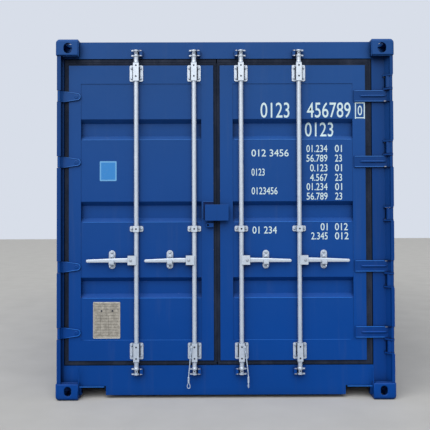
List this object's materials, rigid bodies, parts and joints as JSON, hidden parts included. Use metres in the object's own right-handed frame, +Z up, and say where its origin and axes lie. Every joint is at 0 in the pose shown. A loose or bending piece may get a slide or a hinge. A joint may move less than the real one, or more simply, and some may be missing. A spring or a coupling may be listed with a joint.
{
  "type": "twenty foot shipping container with double end doors and full side opening",
  "caption": "Blue steel shipping container with opening double end doors, turning lock bars with lifting handles, corner castings and closed folding side doors.",
  "frame": {"origin": "on the ground, in the middle of the length and the width", "axes": "+Z up, +Y along the length away from the end doors, +X towards the folding side doors, to the right as one faces the end doors"},
  "size_m": [2.438, 6.058, 2.591],
  "materials": {
    "paint": "semi-gloss blue container paint over pressed and welded steel",
    "galvanised": "hot-dip galvanised, matt grey with faint mottling",
    "rubber": "black EPDM seal, dull",
    "plywood": "sealed hardwood plywood",
    "plate": "etched grey plate",
    "rope": "white braided cord with a pressed sleeve"
  },
  "bodies": {
    "root": {"bottom_castings": "paint", "top_castings": "paint", "left_rear_post": "paint", "right_rear_post": "paint", "left_front_post": "paint", "right_front_post": "paint", "door_header": "paint", "door_sill": "paint", "front_top_rail": "paint", "front_bottom_rail": "paint", "left_top_rail": "paint", "right_top_rail": "paint", "left_bottom_rail": "paint", "right_bottom_rail": "paint", "cross_members": "paint", "floor_boards": "plywood", "roof_panel": "paint", "left_side_wall": "paint", "front_wall": "paint", "left_hinge_pins": "galvanised", "right_hinge_lugs": "paint", "bar_keepers": "paint", "side_leaf_1": "paint", "side_leaf_2": "paint", "side_leaf_3": "paint", "side_leaf_4": "paint", "side_gaskets": "rubber", "side_door_hinges": "paint", "side_bar_bearings": "galvanised", "side_lock_bars": "galvanised", "side_keepers": "paint"},
    "left_door": {"left_door_leaf": "paint", "left_door_gasket": "rubber", "left_door_hinges": "paint", "left_bar_bearings": "galvanised", "left_handle_catches": "galvanised", "left_centre_plate": "paint", "left_tie_rope": "rope", "left_rope_loop": "rope", "data_plate": "plate"},
    "right_door": {"right_door_leaf": "paint", "right_door_gasket": "rubber", "right_door_hinges": "paint", "right_bar_bearings": "galvanised", "right_handle_catches": "galvanised", "right_centre_plate": "paint", "right_tie_rope": "rope", "right_rope_loop": "rope"},
    "left_outer_bar": {"left_outer_lock_bar": "galvanised"},
    "left_inner_bar": {"left_inner_lock_bar": "galvanised"},
    "right_inner_bar": {"right_inner_lock_bar": "galvanised"},
    "right_outer_bar": {"right_outer_lock_bar": "galvanised"},
    "left_outer_lever": {"left_outer_handle": "galvanised"},
    "left_inner_lever": {"left_inner_handle": "galvanised"},
    "right_inner_lever": {"right_inner_handle": "galvanised"},
    "right_outer_lever": {"right_outer_handle": "galvanised"}
  },
  "joints": [
    {"name": "left_door_hinge", "type": "hinge", "parent": "root", "child": "left_door", "pos_m": [-1.197, -3.005, 1.3], "axis": [0, 0, -1], "range_deg": [0, 260]},
    {"name": "right_door_hinge", "type": "hinge", "parent": "root", "child": "right_door", "pos_m": [1.197, -3.005, 1.3], "axis": [0, 0, 1], "range_deg": [0, 260]},
    {"name": "left_outer_bar_turn", "type": "hinge", "parent": "left_door", "child": "left_outer_bar", "pos_m": [-0.643, -2.993, 1.3], "axis": [0, 0, -1], "range_deg": [-100, 0]},
    {"name": "left_outer_handle_lift", "type": "hinge", "parent": "left_outer_bar", "child": "left_outer_lever", "pos_m": [-0.683, -3.0055, 0.998], "axis": [0, 1, 0], "range_deg": [0, 12]},
    {"name": "left_inner_bar_turn", "type": "hinge", "parent": "left_door", "child": "left_inner_bar", "pos_m": [-0.225, -2.993, 1.3], "axis": [0, 0, -1], "range_deg": [-100, 0]},
    {"name": "left_inner_handle_lift", "type": "hinge", "parent": "left_inner_bar", "child": "left_inner_lever", "pos_m": [-0.265, -3.0055, 0.998], "axis": [0, 1, 0], "range_deg": [0, 12]},
    {"name": "right_inner_bar_turn", "type": "hinge", "parent": "right_door", "child": "right_inner_bar", "pos_m": [0.115, -2.993, 1.3], "axis": [0, 0, 1], "range_deg": [-100, 0]},
    {"name": "right_inner_handle_lift", "type": "hinge", "parent": "right_inner_bar", "child": "right_inner_lever", "pos_m": [0.155, -3.0055, 0.998], "axis": [0, -1, 0], "range_deg": [0, 12]},
    {"name": "right_outer_bar_turn", "type": "hinge", "parent": "right_door", "child": "right_outer_bar", "pos_m": [0.534, -2.993, 1.3], "axis": [0, 0, 1], "range_deg": [-100, 0]},
    {"name": "right_outer_handle_lift", "type": "hinge", "parent": "right_outer_bar", "child": "right_outer_lever", "pos_m": [0.574, -3.0055, 0.998], "axis": [0, -1, 0], "range_deg": [0, 12]}
  ]
}
